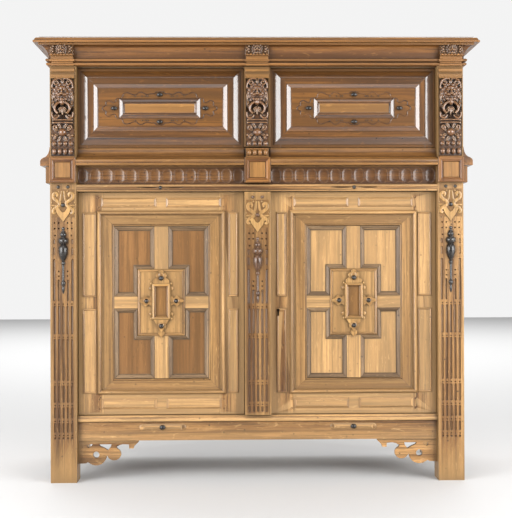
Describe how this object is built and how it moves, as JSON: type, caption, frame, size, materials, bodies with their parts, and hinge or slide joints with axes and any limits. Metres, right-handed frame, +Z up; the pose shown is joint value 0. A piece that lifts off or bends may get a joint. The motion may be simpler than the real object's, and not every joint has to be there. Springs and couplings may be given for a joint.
{
  "type": "press cupboard",
  "caption": "Two-stage oak press cupboard with panelled doors on pivots, carved pilasters, moulded cornice and waist, fluted frieze and pierced brackets.",
  "frame": {"origin": "on the floor, in the middle of the overall width and depth", "axes": "+X to the right seen from the front, front faces -Y, +Z up"},
  "size_m": [1.81, 0.7, 1.815],
  "materials": {
    "upper_oak": "waxed old oak, reddish brown",
    "lower_oak": "waxed old oak, honey coloured",
    "carved_oak": "carved and rubbed old oak, dark in the hollows",
    "inner_oak": "dry unfinished oak",
    "ebony": "ebonised wood, semi-gloss",
    "iron": "blackened wrought iron"
  },
  "bodies": {
    "carcase": {"back_boards": "inner_oak", "back_rails": "inner_oak", "base_rail": "lower_oak", "bottom_board": "inner_oak", "bracket_left": "lower_oak", "bracket_right": "lower_oak", "corner_post_front_left": "lower_oak", "corner_post_front_right": "lower_oak", "cornice_front": "upper_oak", "cornice_returns": "upper_oak", "door_stops": "inner_oak", "ebony_drops_and_bosses": "ebony", "fluted_frieze": "upper_oak", "lower_shelf": "inner_oak", "mask_consoles": "carved_oak", "mid_rail": "lower_oak", "middle_board": "inner_oak", "pivot_sockets": "iron", "rear_posts": "inner_oak", "shelf_bearers": "inner_oak", "side_panels": "lower_oak", "side_rails_left": "lower_oak", "side_rails_right": "lower_oak", "top_board": "upper_oak", "top_rail": "inner_oak", "upper_pilaster_left": "carved_oak", "upper_pilaster_right": "carved_oak", "waist_blocks": "lower_oak", "waist_ledge_front": "upper_oak", "waist_ledge_returns": "upper_oak", "waist_rail": "inner_oak"},
    "lower_door_left": {"keeper_and_guides": "iron", "lower_door_left_bosses": "ebony", "lower_door_left_cross": "lower_oak", "lower_door_left_frame": "lower_oak", "lower_door_left_mouldings": "lower_oak", "lower_door_left_panel": "lower_oak", "lower_door_left_pivots": "iron"},
    "lower_door_right": {"centre_drop": "ebony", "lock_case": "iron", "lower_door_right_bosses": "ebony", "lower_door_right_cross": "lower_oak", "lower_door_right_frame": "lower_oak", "lower_door_right_mouldings": "lower_oak", "lower_door_right_panel": "lower_oak", "lower_door_right_pivots": "iron", "lower_pilaster_centre": "lower_oak"},
    "upper_door_left": {"upper_door_left_bosses": "ebony", "upper_door_left_frame": "upper_oak", "upper_door_left_pivots": "iron", "upper_door_left_raised_panel": "upper_oak", "upper_door_left_tablet": "upper_oak"},
    "upper_door_right": {"upper_door_right_bosses": "ebony", "upper_door_right_frame": "upper_oak", "upper_door_right_pivots": "iron", "upper_door_right_raised_panel": "upper_oak", "upper_door_right_tablet": "upper_oak", "upper_pilaster_centre": "carved_oak"},
    "lock_bolt": {"lock_bolt": "iron"},
    "slide_bolt": {"slide_bolt": "iron"}
  },
  "joints": [
    {"name": "upper_door_left_hinge", "type": "hinge", "parent": "carcase", "child": "upper_door_left", "pos_m": [-0.7185, -0.244, 1.53594], "axis": [0, 0, -1], "range_deg": [0, 90]},
    {"name": "upper_door_right_hinge", "type": "hinge", "parent": "carcase", "child": "upper_door_right", "pos_m": [0.7185, -0.244, 1.53594], "axis": [0, 0, 1], "range_deg": [0, 90]},
    {"name": "lower_door_left_hinge", "type": "hinge", "parent": "carcase", "child": "lower_door_left", "pos_m": [-0.7185, -0.244, 0.72999], "axis": [0, 0, -1], "range_deg": [0, 90]},
    {"name": "lower_door_right_hinge", "type": "hinge", "parent": "carcase", "child": "lower_door_right", "pos_m": [0.7185, -0.244, 0.72999], "axis": [0, 0, 1], "range_deg": [0, 90]},
    {"name": "lock_bolt_slide", "type": "slide", "parent": "lower_door_right", "child": "lock_bolt", "axis": [-1, 0, 0], "range_m": [0, 0.02]},
    {"name": "slide_bolt_slide", "type": "slide", "parent": "lower_door_left", "child": "slide_bolt", "axis": [0, 0, -1], "range_m": [0, 0.022]}
  ]
}
